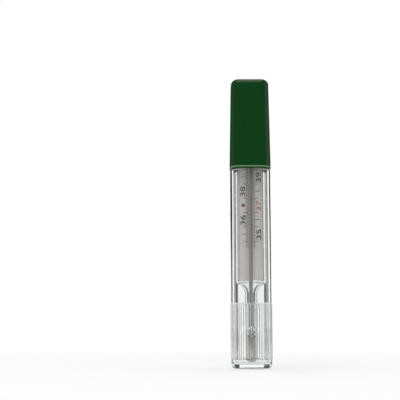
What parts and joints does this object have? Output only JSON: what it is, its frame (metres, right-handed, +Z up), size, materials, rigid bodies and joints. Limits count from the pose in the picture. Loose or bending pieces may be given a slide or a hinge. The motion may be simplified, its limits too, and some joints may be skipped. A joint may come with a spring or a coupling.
{
  "type": "clinical thermometer",
  "caption": "Upright glass fever thermometer with an enclosed scale and a liquid-metal thread, in a clear plastic case with a slip-on green cap.",
  "frame": {"origin": "middle of the case's foot, on the surface that it stands on", "axes": "+Z up along the stem, +X to the right of the scale, -Y the way the scale faces"},
  "size_m": [0.0184, 0.014, 0.1296],
  "materials": {
    "clear_plastic": "clear moulded, glossy",
    "green_plastic": "opaque dark green, satin gloss",
    "body_glass": "clear blown glass",
    "opal_plate": "opaque white, satin, with a printed scale",
    "cement": "white, rough",
    "liquid_metal": "bright silver"
  },
  "bodies": {
    "case": {"case_tube": "clear_plastic"},
    "thermometer": {"glass_envelope": "body_glass", "bulb_glass": "body_glass", "capillary_tube": "body_glass", "scale_plate": "opal_plate", "plate_cement": "cement", "constriction_pin": "body_glass", "gallium_fill": "liquid_metal"},
    "cap": {"cap": "green_plastic"},
    "thread": {"gallium_thread": "liquid_metal"}
  },
  "joints": [
    {"name": "thermometer_draw", "type": "slide", "parent": "case", "child": "thermometer", "axis": [0, 0, 1], "range_m": [0, 0.1]},
    {"name": "cap_pull", "type": "slide", "parent": "thermometer", "child": "cap", "axis": [0, 0, 1], "range_m": [0, 0.042]},
    {"name": "thread_fall", "type": "slide", "parent": "thermometer", "child": "thread", "axis": [0, 0, -1], "range_m": [0, 0.0455], "deforming": ["gallium_thread"]}
  ]
}
